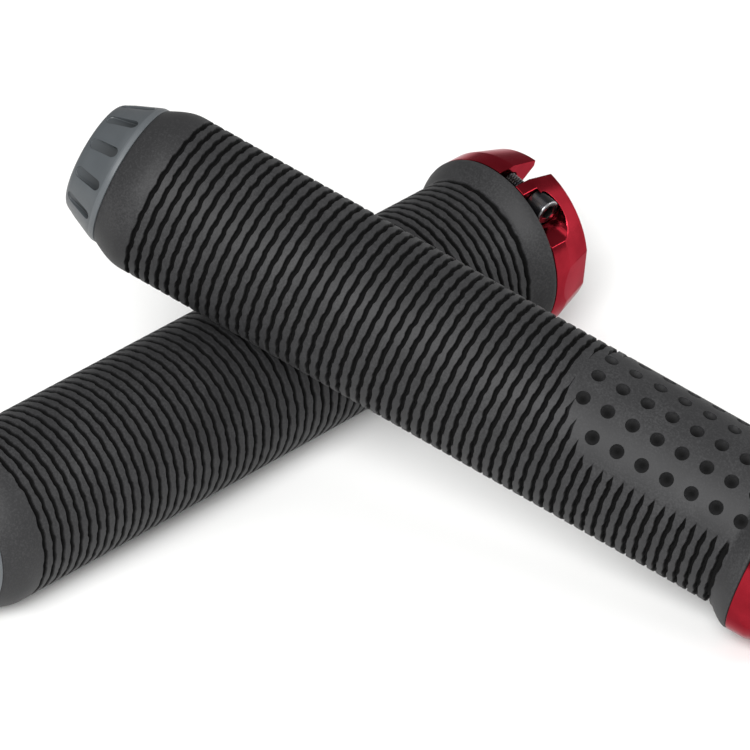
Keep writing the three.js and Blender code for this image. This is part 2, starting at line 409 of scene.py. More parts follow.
def ringMaterial(look):
    material, tree, shader = newMaterial("redAnodisedAluminium", look["base"], 1.0, 0.2)
    shader.inputs["Specular Tint"].default_value = colour(look["grazing"])
    place = addNode(tree, "ShaderNodeAttribute", attribute_name="gripPlace").outputs["Vector"]
    stretch = addNode(tree, "ShaderNodeMapping", {"Vector": place, "Scale": (1.0, 0.004, 0.004)})
    lines = addNode(tree, "ShaderNodeTexNoise", {"Vector": stretch, "Detail": 2.0,
                                                 "Scale": 1 / (look["lineSpacing"] * mm)})
    rough = addNode(tree, "ShaderNodeMapRange", [lines, 0.3, 0.7, *look["roughness"]])
    cloud = addNode(tree, "ShaderNodeTexNoise", {"Vector": place, "Scale": 1 / (look["patch"] * mm),
                                                 "Detail": 2.0})
    share = addNode(tree, "ShaderNodeMapRange", [cloud, 0.3, 0.7, 0.0, 1.0])
    paint = addNode(tree, "ShaderNodeMix", {0: share, 6: colour(look["base"]),
                                            7: colour(look["deep"])}, data_type="RGBA")
    finish(tree, shader, paint, rough, lines, 0.5, look["lineHeight"])
    return material


# Alloy steel, cold headed, hardened and black oxided: near black with a soft oily sheen, slightly
# browner worn patches and a painted highlight round the head's rim.
screwLook = {
    "base": "#303033",
    "worn": "#3C3836",
    "bare": "#9A9A9C",     # painted highlight: a bright glint painted round the head's rim
    "rimRadius": 2.14,
    "rimPlace": 7.82,
    "rimFade": 0.08,
    "patch": 1.2,
    "grain": 0.12,
    "grainHeight": 0.002,
    "roughness": (0.2, 0.32),
}


def screwMaterial(look):
    material, tree, shader = newMaterial("blackOxideSteel", look["base"], 0.9, 0.26)
    place = addNode(tree, "ShaderNodeAttribute", attribute_name="gripPlace").outputs["Vector"]
    cloud = addNode(tree, "ShaderNodeTexNoise", {"Vector": place, "Scale": 1 / (look["patch"] * mm),
                                                 "Detail": 3.0})
    share = addNode(tree, "ShaderNodeMapRange", [cloud, 0.4, 0.7, 0.0, 1.0])
    skin = addNode(tree, "ShaderNodeMix", {0: share, 6: colour(look["base"]),
                                           7: colour(look["worn"])}, data_type="RGBA")
    middle = (layout["screwStation"] * mm, 0.0, layout["screwHeight"] * mm)
    fromMiddle = addNode(tree, "ShaderNodeVectorMath", [place, middle], operation="SUBTRACT")
    parts = addNode(tree, "ShaderNodeSeparateXYZ", [fromMiddle])
    radius = distanceOut(tree, parts.outputs[0], parts.outputs[2])
    # painted highlight: a bright ring painted at the outer edge of the head's end
    rimRadius, rimPlace, fade = (look[key] * mm for key in ("rimRadius", "rimPlace", "rimFade"))
    outer = addNode(tree, "ShaderNodeMapRange", [radius, rimRadius, rimRadius + fade, 0.0, 1.0])
    atEnd = addNode(tree, "ShaderNodeMapRange", [parts.outputs[1], -rimPlace, -rimPlace - fade,
                                                 0.0, 1.0])
    rim = addNode(tree, "ShaderNodeMath", [outer, atEnd], operation="MULTIPLY")
    paint = addNode(tree, "ShaderNodeMix", {0: rim, 6: skin.outputs[2],
                                            7: colour(look["bare"])}, data_type="RGBA")
    grain = addNode(tree, "ShaderNodeTexNoise", {"Vector": place,
                                                 "Scale": 1 / (look["grain"] * mm)})
    rough = addNode(tree, "ShaderNodeMapRange", [grain, 0.3, 0.7, *look["roughness"]])
    finish(tree, shader, paint, rough, grain, 0.4, look["grainHeight"])
    return material


# Nylon, injection moulded: black, half matt, with faint draw marks along the tube.
coreLook = {
    "base": "#17181A",
    "light": "#222326",
    "streak": 0.5,
    "streakHeight": 0.008,
    "roughness": (0.44, 0.56),
}


def coreMaterial(look):
    material, tree, shader = newMaterial("mouldedNylon", look["base"], 0.0, 0.5)
    place = addNode(tree, "ShaderNodeAttribute", attribute_name="gripPlace").outputs["Vector"]
    stretch = addNode(tree, "ShaderNodeMapping", {"Vector": place, "Scale": (0.05, 1.0, 1.0)})
    streak = addNode(tree, "ShaderNodeTexNoise", {"Vector": stretch, "Detail": 3.0,
                                                  "Scale": 1 / (look["streak"] * mm)})
    share = addNode(tree, "ShaderNodeMapRange", [streak, 0.35, 0.7, 0.0, 1.0])
    paint = addNode(tree, "ShaderNodeMix", {0: share, 6: colour(look["base"]),
                                            7: colour(look["light"])}, data_type="RGBA")
    rough = addNode(tree, "ShaderNodeMapRange", [streak, 0.3, 0.7, *look["roughness"]])
    finish(tree, shader, paint, rough, streak, 0.4, look["streakHeight"])
    return material


rubber = rubberMaterial(rubberLook)
capPlastic = capMaterial(capLook)
redAluminium = ringMaterial(ringLook)
blackSteel = screwMaterial(screwLook)
nylon = coreMaterial(coreLook)
print("materials made")

# Rubber sleeve: ogive outer end, 58 grooves whose edges weave between alternate beads, a
# smooth palm pad flush with the rib tops, dimples in it, and a flange against the clamp.
sleeve = {
    "columns": 240,
    "start": 8.05,
    "end": 137.2,
    "bore": 12.45,
    "endRadius": 13.1,
    "radius": 15.0,
    "ogiveEnd": 14.0,
    "ogiveSteps": 12,
    "firstGroove": 16.0,
    "pitch": 2.036,
    "grooves": 58,
    "grooveDepth": 1.2,
    # the rows of points across a groove, as parts of the pitch from its middle
    "grooveRows": (-0.245, -0.205, -0.175, 0.175, 0.205, 0.245),
    "lastShift": 0.15,      # the groove under the flange lies further on and is wider
    "lastWidth": 1.35,
    "beads": 24,
    "beadWave": 0.078,
    "beadSteepness": 2.2,   # 1 is a plain wave, more is flatter with steeper steps
    "rough": 0.4,           # how far the groove edges wander, and over what length
    "roughLength": 0.9,
    "padStart": 93.3,
    "padNose": 12.9,        # how far the pad's nose reaches past its straight sides
    "padHalfAngle": 61.5,
    "padEdge": 1.7,         # groove ends taper over this length
    "padNarrowing": 0.85,   # how much of its width a groove loses at its end
    "dimpleWidth": 2.6,
    "dimpleDepth": 1.25,
    "dimpleStart": 98.5,
    "dimpleSpacing": 4.85,
    "dimpleRowAngle": 20.0,
    "dimpleStations": 8,
    "dimpleRows": 5,
    "ballSegments": 24,
    "ballRings": 12,
}
flangeOutline = (
    (133.0, 15.0), (133.5, 15.25), (134.2, 15.85), (135.0, 16.4), (135.7, 16.82),
    (136.3, 17.1), (136.7, 17.22), (136.95, 17.22), (137.12, 17.1), (137.2, 16.9),
)
# The edge of the pad's nose: how far round from the pad's middle, as part of padHalfAngle, and
# how far back the edge lies there, as part of padNose.
padOutline = (
    (0.0, 0.0), (0.11, 0.0), (0.276, 0.031), (0.366, 0.155), (0.618, 0.372), (0.78, 0.519),
    (0.878, 0.667), (0.959, 0.845), (1.0, 1.0),
)
# A groove's cross-section: how far from its middle, as part of half the pitch, and how deep.
grooveOutline = ((0.0, 1.0), (0.35, 1.0), (0.41, 0.14), (0.49, 0.0), (1.0, 0.0))


def sleeveMesh(sizes):
    outline = [(sizes["start"], sizes["bore"]), (sizes["start"], sizes["endRadius"] - 0.15)]
    rise = sizes["radius"] - sizes["endRadius"]
    run = sizes["ogiveEnd"] - sizes["start"] - 0.1
    for i in range(sizes["ogiveSteps"] + 1):
        part = i / sizes["ogiveSteps"]
        outline.append((sizes["start"] + 0.1 + run * part,
                        sizes["endRadius"] + rise * math.sin(part * math.pi / 2)))
    grooves = [-1.0] * len(outline)
    across = [0.5] * len(outline)
    for k in range(sizes["grooves"]):
        last = k == sizes["grooves"] - 1
        middle = sizes["firstGroove"] + k * sizes["pitch"] + (sizes["lastShift"] if last else 0)
        stretch = sizes["lastWidth"] if last else 1.0
        for part in sizes["grooveRows"]:
            outline.append((middle + part * stretch * sizes["pitch"], sizes["radius"]))
            grooves.append(float(k))
            across.append(part)
    plain = [*flangeOutline, (sizes["end"], sizes["bore"])]
    outline += plain
    grooves += [-1.0] * len(plain)
    across += [0.5] * len(plain)
    marks = (("groove", grooves), ("across", across))
    return turned("sleeve", outline, sizes["columns"], marks)


def setCurve(node, outline):
    curve = node.mapping.curves[0]
    for _ in outline[2:]:
        curve.points.new(0.5, 0.5)
    for point, (x, y) in zip(curve.points, outline):
        point.location = (x, y)
        point.handle_type = "VECTOR"
    node.mapping.update()


def sleeveTree(inputs):
    tree, given = newTree("groovedSleeve", inputs)
    place = addNode(tree, "GeometryNodeInputPosition")
    parts = addNode(tree, "ShaderNodeSeparateXYZ", [place])
    x, y, z = parts.outputs
    angle = turnFromPad(tree, y, z)
    fromPad = addNode(tree, "ShaderNodeMath", [angle], operation="ABSOLUTE")
    groove = addNode(tree, "GeometryNodeInputNamedAttribute", ["groove"], data_type="FLOAT")
    across = addNode(tree, "GeometryNodeInputNamedAttribute", ["across"], data_type="FLOAT")
    inGroove = addNode(tree, "ShaderNodeMath", [groove, -0.5], operation="GREATER_THAN")

    # 1 on the palm pad, 0 on the ribs, with a soft step between them
    turnShare = addNode(tree, "ShaderNodeMath", [fromPad, given["Pad Half Angle"]],
                        operation="DIVIDE")
    nose = addNode(tree, "ShaderNodeFloatCurve", {"Value": turnShare})
    setCurve(nose, padOutline)
    edge = addNode(tree, "ShaderNodeMath", [nose, given["Pad Nose"], given["Pad Start"]],
                   operation="MULTIPLY_ADD")
    edgeEnd = addNode(tree, "ShaderNodeMath", [edge, given["Pad Edge"]], operation="ADD")
    pastNose = addNode(tree, "ShaderNodeMapRange", [x, edge, edgeEnd, 0.0, 1.0])
    edgeTurn = addNode(tree, "ShaderNodeMath", [given["Pad Edge"], given["Radius"]],
                       operation="DIVIDE")
    sideEnd = addNode(tree, "ShaderNodeMath", [given["Pad Half Angle"], edgeTurn],
                      operation="SUBTRACT")
    inSides = addNode(tree, "ShaderNodeMapRange", [fromPad, given["Pad Half Angle"], sideEnd,
                                                   0.0, 1.0])
    pad = addNode(tree, "ShaderNodeMath", [pastNose, inSides], operation="MINIMUM")
    ribbed = addNode(tree, "ShaderNodeMath", [1.0, pad], operation="SUBTRACT")
    grooved = addNode(tree, "ShaderNodeMath", [ribbed, inGroove], operation="MULTIPLY")

    # grooves step to and fro along the grip, and every second one the other way
    waves = addNode(tree, "ShaderNodeMath", [angle, given["Beads"]], operation="MULTIPLY")
    wave = addNode(tree, "ShaderNodeMath", [waves], operation="COSINE")
    steep = addNode(tree, "ShaderNodeMath", [wave, given["Bead Steepness"]], operation="MULTIPLY")
    bead = addNode(tree, "ShaderNodeClamp", [steep, -1.0, 1.0])
    odd = addNode(tree, "ShaderNodeMath", [groove, 2.0], operation="FLOORED_MODULO")
    side = addNode(tree, "ShaderNodeMath", [odd, 2.0, -1.0], operation="MULTIPLY_ADD")
    size = addNode(tree, "ShaderNodeMath", [given["Bead Wave"], grooved], operation="MULTIPLY")
    sided = addNode(tree, "ShaderNodeMath", [side, size], operation="MULTIPLY")
    stepped = addNode(tree, "ShaderNodeMath", [bead, sided, x], operation="MULTIPLY_ADD")
    # the mould's edges are not quite even
    often = addNode(tree, "ShaderNodeMath", [1.0, given["Rough Length"]], operation="DIVIDE")
    noise = addNode(tree, "ShaderNodeTexNoise", {"Vector": place, "Scale": often, "Detail": 1.0})
    uneven = addNode(tree, "ShaderNodeMath", [noise, 0.5], operation="SUBTRACT")
    wander = addNode(tree, "ShaderNodeMath", [given["Rough"], grooved], operation="MULTIPLY")
    waved = addNode(tree, "ShaderNodeMath", [uneven, wander, stepped], operation="MULTIPLY_ADD")
    # and come to a point where they run out into the pad
    closing = addNode(tree, "ShaderNodeMath", [pad, inGroove], operation="MULTIPLY")
    offset = addNode(tree, "ShaderNodeMath", [across, given["Narrowing"]], operation="MULTIPLY")
    inwards = addNode(tree, "ShaderNodeMath", [offset, closing], operation="MULTIPLY")
    moved = addNode(tree, "ShaderNodeMath", [waved, inwards], operation="SUBTRACT")

    # how deep each point lies under the rib tops
    middleness = addNode(tree, "ShaderNodeMath", [across], operation="ABSOLUTE")
    spread = addNode(tree, "ShaderNodeMath", [middleness, 2.0], operation="MULTIPLY")
    form = addNode(tree, "ShaderNodeFloatCurve", {"Value": spread})
    setCurve(form, grooveOutline)
    share = addNode(tree, "ShaderNodeMath", [form, grooved], operation="MULTIPLY")
    depth = addNode(tree, "ShaderNodeMath", [share, given["Groove Depth"]], operation="MULTIPLY")
    sunk = addNode(tree, "ShaderNodeMath", [depth, distanceOut(tree, y, z)], operation="DIVIDE")
    ribs = drawnIn(tree, given["Geometry"], moved, y, z, sunk)

    # dimples: a grid of balls wrapped on the pad, cut out of the rubber
    lattice = addNode(tree, "GeometryNodeMeshGrid", {
        "Size X": given["Dimple Run"], "Size Y": given["Dimple Sweep"],
        "Vertices X": given["Dimple Stations"], "Vertices Y": given["Dimple Rows"]})
    spot = addNode(tree, "ShaderNodeSeparateXYZ", [addNode(tree, "GeometryNodeInputPosition")])
    spotX = addNode(tree, "ShaderNodeMath", [spot.outputs[0], given["Dimple Middle"]],
                    operation="ADD")
    cosine = addNode(tree, "ShaderNodeMath", [spot.outputs[1]], operation="COSINE")
    sine = addNode(tree, "ShaderNodeMath", [spot.outputs[1]], operation="SINE")
    spotY = addNode(tree, "ShaderNodeMath", [sine, given["Ball Height"]], operation="MULTIPLY")
    spotZ = addNode(tree, "ShaderNodeMath", [cosine, given["Ball Height"]], operation="MULTIPLY")
    wrapped = addNode(tree, "ShaderNodeCombineXYZ", [spotX, spotY, spotZ])
    # the outer rows start one dimple later, as the pad's nose curves away there
    sideways = addNode(tree, "ShaderNodeMath", [spot.outputs[1]], operation="ABSOLUTE")
    outerRow = addNode(tree, "ShaderNodeMath", [sideways, given["Inner Rows"]],
                       operation="GREATER_THAN")
    firstPlace = addNode(tree, "ShaderNodeMath", [spotX, given["Second Dimple"]],
                         operation="LESS_THAN")
    tooClose = addNode(tree, "ShaderNodeMath", [outerRow, firstPlace], operation="MULTIPLY")
    kept = addNode(tree, "GeometryNodeDeleteGeometry", {"Geometry": lattice, "Selection": tooClose})
    chosen = addNode(tree, "GeometryNodeSetPosition", {"Geometry": kept, "Position": wrapped})
    ball = addNode(tree, "GeometryNodeMeshUVSphere", [given["Ball Segments"], given["Ball Rings"],
                                                      given["Ball Radius"]])
    balls = addNode(tree, "GeometryNodeInstanceOnPoints", {"Points": chosen, "Instance": ball})
    loose = addNode(tree, "GeometryNodeRealizeInstances", [balls])
    cut = addNode(tree, "GeometryNodeMeshBoolean", {"Mesh 1": ribs, "Mesh 2": loose},
                  operation="DIFFERENCE", solver="MANIFOLD")
    return endTree(tree, given, cut)


def sleeveInputs(sizes):
    rim, depth = sizes["dimpleWidth"] / 2, sizes["dimpleDepth"]
    ballRadius = (rim * rim + depth * depth) / (2 * depth)
    run = sizes["dimpleSpacing"] * (sizes["dimpleStations"] - 1)
    return {
        "Radius": sizes["radius"] * mm,
        "Groove Depth": sizes["grooveDepth"] * mm,
        "Beads": float(sizes["beads"]),
        "Bead Wave": sizes["beadWave"] * mm,
        "Bead Steepness": sizes["beadSteepness"],
        "Rough": sizes["rough"] * mm,
        "Rough Length": sizes["roughLength"] * mm,
        "Pad Start": sizes["padStart"] * mm,
        "Pad Nose": sizes["padNose"] * mm,
        "Pad Half Angle": math.radians(sizes["padHalfAngle"]),
        "Pad Edge": sizes["padEdge"] * mm,
        "Narrowing": sizes["padNarrowing"] * sizes["pitch"] * mm,
        "Dimple Run": run * mm,
        "Dimple Middle": (sizes["dimpleStart"] + run / 2) * mm,
        "Dimple Sweep": math.radians(sizes["dimpleRowAngle"]) * (sizes["dimpleRows"] - 1),
        "Inner Rows": math.radians(sizes["dimpleRowAngle"]) * 1.5,  # between second and third
        "Second Dimple": (sizes["dimpleStart"] + sizes["dimpleSpacing"] / 2) * mm,
        "Dimple Stations": sizes["dimpleStations"],
        "Dimple Rows": sizes["dimpleRows"],
        "Ball Height": (sizes["radius"] + ballRadius - depth) * mm,
        "Ball Radius": ballRadius * mm,
        "Ball Segments": sizes["ballSegments"],
        "Ball Rings": sizes["ballRings"],
        "Material": rubber,
    }


sleeveSizes = sleeveInputs(sleeve)
sleeveShape = shaped(sleeveMesh(sleeve), sleeveTree(sleeveSizes), sleeveSizes)
settle("rubber_sleeve", sleeveShape, gripFrame, "grip")
print("rubber sleeves made:", len(sleeveShape.polygons), "faces each")

# Core tube: plain inside, with four tabs that key into the clamp ring.
core = {
    "columns": 96,
    "start": 9.0,
    "end": 137.2,
    "bore": 11.2,
    "radius": 12.4,
    "tabs": 4,
    "tabAngle": 45.0,
    "tabWidth": 5.0,
    "tabEnd": 139.2,
    "bevel": 0.15,
}


def box(name, low, high):
    mesh = bpy.data.meshes.new(name)
    work = bmesh.new()
    bmesh.ops.create_cube(work, size=1.0)
    size = (Vector(high) - Vector(low)) * mm
    middle = (Vector(high) + Vector(low)) * mm / 2
    bmesh.ops.scale(work, verts=work.verts, vec=size)
    bmesh.ops.translate(work, verts=work.verts, vec=middle)
    work.to_mesh(mesh)
    work.free()
    return mesh


# Lays a mesh made along X on the screw's axis, across the ring, with X towards the head.
def layAcross(mesh, sizes):
    mesh.transform(Matrix.Translation(Vector((sizes["station"], 0, sizes["height"])) * mm)
                   @ Matrix.Rotation(math.radians(-90), 4, "Z"))
    return mesh


# Cuts the other meshes out of a mesh.
def cutFrom(name, mesh, others, solver="EXACT"):
    thing = bpy.data.objects.new(name, mesh)
    scene.collection.objects.link(thing)
    helpers = []
    for other in others:
        helper = bpy.data.objects.new("helper", other)
        scene.collection.objects.link(helper)
        helpers.append(helper)
        modifier = thing.modifiers.new("cut", "BOOLEAN")
        modifier.operation = "DIFFERENCE"
        modifier.solver = solver
        modifier.object = helper
    result = plainCopy(thing)
    for helper in helpers:
        bpy.data.objects.remove(helper)
    return result


# Merges points that the cuts left almost touching, then rounds the edges sharper than an angle.
def eased(name, mesh, width, angle=30):
    work = bmesh.new()
    work.from_mesh(mesh)
    bmesh.ops.remove_doubles(work, verts=work.verts, dist=0.03 * mm)
    bmesh.ops.dissolve_degenerate(work, edges=work.edges, dist=0.01 * mm)
    work.to_mesh(mesh)
    work.free()
    thing = bpy.data.objects.new(name, mesh)
    scene.collection.objects.link(thing)
    modifier = thing.modifiers.new("edges", "BEVEL")
    modifier.width = width * mm
    modifier.segments = 2
    modifier.limit_method = "ANGLE"
    modifier.angle_limit = math.radians(angle)
    modifier.use_clamp_overlap = False
    return plainCopy(thing)


# Bars right across the axis, each as wide as a tab, one for every two tabs.
def tabBars(name, sizes, width, start, end, reach):
    bars = []
    for i in range(sizes["tabs"] // 2):
        bar = box(name, (start, -reach, -width / 2), (end, reach, width / 2))
        turn = sizes["tabAngle"] + 360 / sizes["tabs"] * i
        bar.transform(Matrix.Rotation(math.radians(turn), 4, "X"))
        bars.append(bar)
    return bars


def coreMesh(sizes):
    tube = turned("core", [(sizes["start"], sizes["bore"]), (sizes["start"], sizes["radius"]),
                           (sizes["tabEnd"], sizes["radius"]), (sizes["tabEnd"], sizes["bore"])],
                  sizes["columns"])
    # what is cut away between the tabs: a sleeve over the tube's end, less the bars
    inside, outside, past = sizes["bore"] - 2, sizes["radius"] + 2, sizes["tabEnd"] + 2
    shell = turned("waste", [(sizes["end"], inside), (sizes["end"], outside), (past, outside),
                             (past, inside)], sizes["columns"])
    bars = tabBars("tab", sizes, sizes["tabWidth"], sizes["end"] - 3, past + 1, outside + 2)
    waste = cutFrom("waste", shell, bars)
    mesh = cutFrom("core", tube, [waste])
    return coat(eased("core", mesh, sizes["bevel"]), nylon)


settle("core_tube", coreMesh(core), clampFrame, "grip")
print("core tubes made")

# End cap: turned body with a slightly dished face and a stem, and slots cut round its cone.
cap = {
    "columns": 192,
    "seam": 8.0,
    "seamRadius": 13.1,
    "faceRadius": 8.85,
    "shoulderStation": 1.5,
    "shoulder": 1.5,
    "shoulderSweep": 68.0,
    "shoulderSteps": 8,
    "coneStart": 1.0,
    "coneRise": 1.65,       # from the face's radius to the cone's at its start
    "coneEnd": 6.75,
    "coneRadius": 12.96,
    "stemRadius": 11.05,
    "stemEnd": 14.5,
    "wall": 1.8,
    "slots": 12,
    "slotWidth": 2.0,
    "slotFrom": 0.3,
    "slotTo": 6.5,
    "slotDepth": 1.1,
    "slotRise": 7.0,        # the floor runs out towards the face
    "slotEase": 0.1,        # bevel round the floor
    "slotTop": 3.0,
    "slotSides": 32,
}
faceOutline = ((0.35, 0.0), (0.3, 4.0), (0.12, 7.4), (0.0, 8.3))  # slightly dished


def coneRadius(sizes, station):
    part = (station - sizes["coneStart"]) / (sizes["coneEnd"] - sizes["coneStart"])
    first = sizes["faceRadius"] + sizes["coneRise"]
    return first + (sizes["coneRadius"] - first) * part


def capMesh(sizes):
    centre = (sizes["shoulderStation"], sizes["faceRadius"] + 0.1)
    outline = list(faceOutline)
    for i in range(sizes["shoulderSteps"] + 1):
        turn = math.radians(180 - sizes["shoulderSweep"] * i / sizes["shoulderSteps"])
        outline.append((centre[0] + sizes["shoulder"] * math.cos(turn),
                        centre[1] + sizes["shoulder"] * math.sin(turn)))
    for station in (2.5, 4.0, 5.5, sizes["coneEnd"]):
        outline.append((station, coneRadius(sizes, station)))
    cone, seam, top = sizes["coneEnd"], sizes["seam"], sizes["seamRadius"]
    stem, end, wall = sizes["stemRadius"], sizes["stemEnd"], sizes["wall"]
    outline += [(cone + 0.12, top - 0.14), (cone + 0.3, top - 0.04), (cone + 0.5, top)]
    outline += [(seam - 0.12, top), (seam, top - 0.12), (seam, stem + 0.2), (seam + 0.1, stem)]
    outline += [(end - 0.5, stem), (end, stem - 0.5), (end, stem - wall)]
    outline += [(wall + 1, stem - wall), (wall + 1, 0.0)]
    return turned("cap", outline, sizes["columns"])


# One slot's cutter: a long round-ended block, bevelled round its floor.
def slotCutter(sizes):
    half, length = sizes["slotWidth"] / 2, sizes["slotTo"] - sizes["slotFrom"]
    reach = length / 2 - half
    floor, ease, sides = -sizes["slotDepth"], sizes["slotEase"], sizes["slotSides"]
    work = bmesh.new()
    loops = []
    for height, radius in ((floor, half - ease), (floor + ease, half), (sizes["slotTop"], half)):
        loop = []
        for i in range(sides):
            turn = 2 * math.pi * (i + 0.5) / sides
            shift = reach if math.cos(turn) > 0 else -reach
            loop.append(work.verts.new(((radius * math.cos(turn) + shift) * mm,
                                        radius * math.sin(turn) * mm, height * mm)))
        loops.append(loop)
    for low, high in zip(loops, loops[1:]):
        for i in range(sides):
            k = (i + 1) % sides
            work.faces.new((low[i], low[k], high[k], high[i]))
    work.faces.new(reversed(loops[0]))
    work.faces.new(loops[-1])
    mesh = bpy.data.meshes.new("slot")
    work.to_mesh(mesh)
    work.free()
    low, high = (coneRadius(sizes, sizes[key]) for key in ("slotFrom", "slotTo"))
    slope = math.atan2(high - low, length) - math.radians(sizes["slotRise"])
    end = Matrix.Translation(Vector((sizes["slotTo"], 0, high)) * mm)
    back = Matrix.Translation(Vector((-length / 2, 0, 0)) * mm)
    mesh.transform(end @ Matrix.Rotation(-slope, 4, "Y") @ back)
    outwards(mesh)
    return mesh


def capTree(inputs):
    tree, given = newTree("slottedCap", inputs)
    spots = addNode(tree, "GeometryNodePoints", [given["Slots"]])
    number = addNode(tree, "GeometryNodeInputIndex")
    step = addNode(tree, "ShaderNodeMath", [2 * math.pi, given["Slots"]], operation="DIVIDE")
    turn = addNode(tree, "ShaderNodeMath", [number, step], operation="MULTIPLY")
    spin = addNode(tree, "ShaderNodeCombineXYZ", [turn, 0.0, 0.0])
    cutter = addNode(tree, "GeometryNodeObjectInfo", {"Object": given["Cutter"]})
    cutters = addNode(tree, "GeometryNodeInstanceOnPoints", {
        "Points": spots, "Instance": cutter.outputs["Geometry"], "Rotation": spin})
    loose = addNode(tree, "GeometryNodeRealizeInstances", [cutters])
    cut = addNode(tree, "GeometryNodeMeshBoolean", {"Mesh 1": given["Geometry"], "Mesh 2": loose},
                  operation="DIFFERENCE", solver="MANIFOLD")
    return endTree(tree, given, cut)


def slottedCap(sizes):
    cutter = bpy.data.objects.new("slotCutter", slotCutter(sizes))
    scene.collection.objects.link(cutter)
    inputs = {"Slots": sizes["slots"], "Cutter": cutter, "Material": capPlastic}
    mesh = shaped(capMesh(sizes), capTree(inputs), inputs)
    bpy.data.objects.remove(cutter)
    return mesh


capShape = slottedCap(cap)
settle("end_cap", capShape, gripFrame, "cap")
print("end caps made:", len(capShape.polygons), "faces each")

# Clamp ring: turned with a cone and a dished end face, then slit, counterbored for the screw
# head from the rubber's side, drilled, keyed for the core's tabs and given two shallow flats.
ring = {
    "columns": 240,
    "start": 137.25,
    "cylinderEnd": 140.7,
    "end": 146.9,
    "radius": 17.2,
    "mouthRadius": 15.35,
    "bore": 11.2,
    "rim": 1.3,
    "dish": 2.6,
    "gap": 4.0,
    "flatAngle": 81.5,
    "flatDepth": 0.44,
    "edge": 0.14,
    "edgeAngle": 11.0,      # edges sharper than this are rounded, the flats' among them
    "smoothAngle": 9.0,     # creases sharper than this stay crisp
    "outside": 18.0,        # the cutters reach at least this far out
    "keyRadius": 12.55,
    "keyRoom": 0.3,
    "pocketRadius": 2.68,
    "pocketSeat": 4.25,
    "holeRadius": 1.65,
    "holeEnd": -7.05,
    "holeColumns": 48,
    "pocketColumns": 64,
}
screw = {
    "station": layout["screwStation"],
    "height": layout["screwHeight"],
    "headRadius": 2.4,
    "headFrom": 4.3,
    "headTo": 8.1,
    "headEdge": 0.22,
    "hexAcross": 2.5,
    "hexDepth": 2.0,
    "threadRadius": 1.5,
    "threadDepth": 0.3,
    "threadPitch": 0.5,
    "threadRows": 6,        # rows of points for each turn of the thread
    "threadColumns": 32,
    "headColumns": 64,
    "smoothAngle": 30.0,
    "overlap": 0.2,         # how far the thread's rod runs into the head
    "tail": -6.7,
}


def ringMesh(sizes):
    dishRadius = sizes["mouthRadius"] - sizes["rim"]
    body = turned("ring", [
        (sizes["start"], sizes["bore"]), (sizes["start"], sizes["radius"]),
        (sizes["cylinderEnd"], sizes["radius"]), (sizes["end"], sizes["mouthRadius"]),
        (sizes["end"], dishRadius), (sizes["end"] - sizes["dish"], sizes["bore"]),
    ], sizes["columns"])
    half = sizes["gap"] / 2
    outside = sizes["outside"]
    cutters = [box("gap", (sizes["start"] - 1, -half, 0), (sizes["end"] + 1, half, outside))]
    run = sizes["end"] - sizes["cylinderEnd"]
    slope = math.atan2(sizes["radius"] - sizes["mouthRadius"], run)
    for turn in (sizes["flatAngle"], -sizes["flatAngle"]):
        flat = box("flat", (-run, -outside, 0), (2 * run, outside, outside))
        start = Vector((sizes["cylinderEnd"], 0, sizes["radius"] - sizes["flatDepth"])) * mm
        flat.transform(Matrix.Rotation(math.radians(turn), 4, "X") @ Matrix.Translation(start)
                       @ Matrix.Rotation(slope, 4, "Y"))
        cutters.append(flat)
    keys = tabBars("key", core, core["tabWidth"] + sizes["keyRoom"], sizes["start"] - 1,
                   core["tabEnd"] + 0.2, sizes["keyRadius"])
    seat, far = sizes["pocketSeat"], outside + 1
    hole = [(sizes["holeEnd"], 0), (sizes["holeEnd"], sizes["holeRadius"]),
            (seat + 1, sizes["holeRadius"]), (seat + 1, 0)]
    cutters.append(layAcross(turned("hole", hole, sizes["holeColumns"]), screw))
    pocket = [(seat, 0), (seat, sizes["pocketRadius"]), (far, sizes["pocketRadius"]), (far, 0)]
    cutters.append(layAcross(turned("pocket", pocket, sizes["pocketColumns"]), screw))
    floor = screw["height"] - sizes["pocketRadius"]
    cutters.append(box("trough", (sizes["start"] - 1, -far, floor), (screw["station"], -seat, far)))
    mesh = cutFrom("ring", body, cutters + keys, "MANIFOLD")
    return coat(eased("ring", mesh, sizes["edge"], sizes["edgeAngle"]), redAluminium)


ringShape = ringMesh(ring)
settle("clamp_ring", ringShape, clampFrame, "clamp", ring["smoothAngle"])
print("clamp rings made:", len(ringShape.polygons), "faces each")


# Thread: a plain rod whose points move in and out along a helix.
def threadTree(inputs):
    tree, given = newTree("screwThread", inputs)
    place = addNode(tree, "GeometryNodeInputPosition")
    parts = addNode(tree, "ShaderNodeSeparateXYZ", [place])
    x, y, z = parts.outputs
    angle = addNode(tree, "ShaderNodeMath", [y, z], operation="ARCTAN2")
    turns = addNode(tree, "ShaderNodeMath", [angle, 2 * math.pi], operation="DIVIDE")
    rise = addNode(tree, "ShaderNodeMath", [x, given["Pitch"]], operation="DIVIDE")
    phase = addNode(tree, "ShaderNodeMath", [rise, turns], operation="ADD")
    flank = addNode(tree, "ShaderNodeMath", [phase, 0.5], operation="PINGPONG")
    # only the points on the rod's skin move, not those of its ends
    almost = addNode(tree, "ShaderNodeMath", [given["Radius"], 0.99], operation="MULTIPLY")
    atSkin = addNode(tree, "ShaderNodeMath", [distanceOut(tree, y, z), almost],
                     operation="GREATER_THAN")
    cut = addNode(tree, "ShaderNodeMath", [flank, 2.0], operation="MULTIPLY")
    share = addNode(tree, "ShaderNodeMath", [cut, atSkin], operation="MULTIPLY")
    ratio = addNode(tree, "ShaderNodeMath", [given["Depth"], given["Radius"]], operation="DIVIDE")
    sunk = addNode(tree, "ShaderNodeMath", [share, ratio], operation="MULTIPLY")
    return endTree(tree, given, drawnIn(tree, given["Geometry"], x, y, z, sunk))


